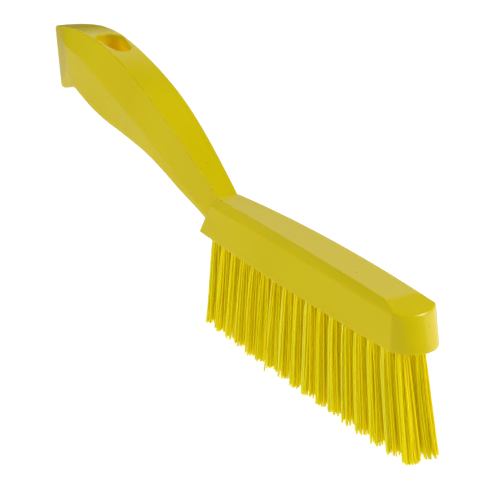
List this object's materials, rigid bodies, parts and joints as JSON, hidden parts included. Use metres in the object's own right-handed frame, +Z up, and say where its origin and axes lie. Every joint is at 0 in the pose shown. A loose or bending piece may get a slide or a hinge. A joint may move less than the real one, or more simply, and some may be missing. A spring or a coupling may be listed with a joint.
{
  "type": "narrow hand brush",
  "caption": "Narrow hand brush for cleaning: a moulded head and curved handle in one piece, a hanging hole near the handle's end, and stiff bristle tufts set in the head's underside.",
  "frame": {"origin": "centre of the part's bounding box in plan, at the plane of the bristle tips that it stands on", "axes": "+X along the brush from the handle towards the nose, +Y across it, +Z up out of the head's top, away from the bristles"},
  "size_m": [0.3008, 0.019, 0.1018],
  "materials": {
    "moulded_body": "satin moulded polypropylene, coloured through",
    "bristles": "smooth polyester filament, slightly translucent"
  },
  "bodies": {
    "root": {"brush_body": "moulded_body", "tuft_far_01": "bristles", "tuft_far_02": "bristles", "tuft_far_03": "bristles", "tuft_far_04": "bristles", "tuft_far_05": "bristles", "tuft_far_06": "bristles", "tuft_far_07": "bristles", "tuft_far_08": "bristles", "tuft_far_09": "bristles", "tuft_far_10": "bristles", "tuft_far_11": "bristles", "tuft_far_12": "bristles", "tuft_far_13": "bristles", "tuft_far_14": "bristles", "tuft_far_15": "bristles", "tuft_far_16": "bristles", "tuft_far_17": "bristles", "tuft_middle_01": "bristles", "tuft_middle_02": "bristles", "tuft_middle_03": "bristles", "tuft_middle_04": "bristles", "tuft_middle_05": "bristles", "tuft_middle_06": "bristles", "tuft_middle_07": "bristles", "tuft_middle_08": "bristles", "tuft_middle_09": "bristles", "tuft_middle_10": "bristles", "tuft_middle_11": "bristles", "tuft_middle_12": "bristles", "tuft_middle_13": "bristles", "tuft_middle_14": "bristles", "tuft_middle_15": "bristles", "tuft_middle_16": "bristles", "tuft_near_01": "bristles", "tuft_near_02": "bristles", "tuft_near_03": "bristles", "tuft_near_04": "bristles", "tuft_near_05": "bristles", "tuft_near_06": "bristles", "tuft_near_07": "bristles", "tuft_near_08": "bristles", "tuft_near_09": "bristles", "tuft_near_10": "bristles", "tuft_near_11": "bristles", "tuft_near_12": "bristles", "tuft_near_13": "bristles", "tuft_near_14": "bristles", "tuft_near_15": "bristles", "tuft_near_16": "bristles", "tuft_near_17": "bristles"}
  },
  "joints": []
}
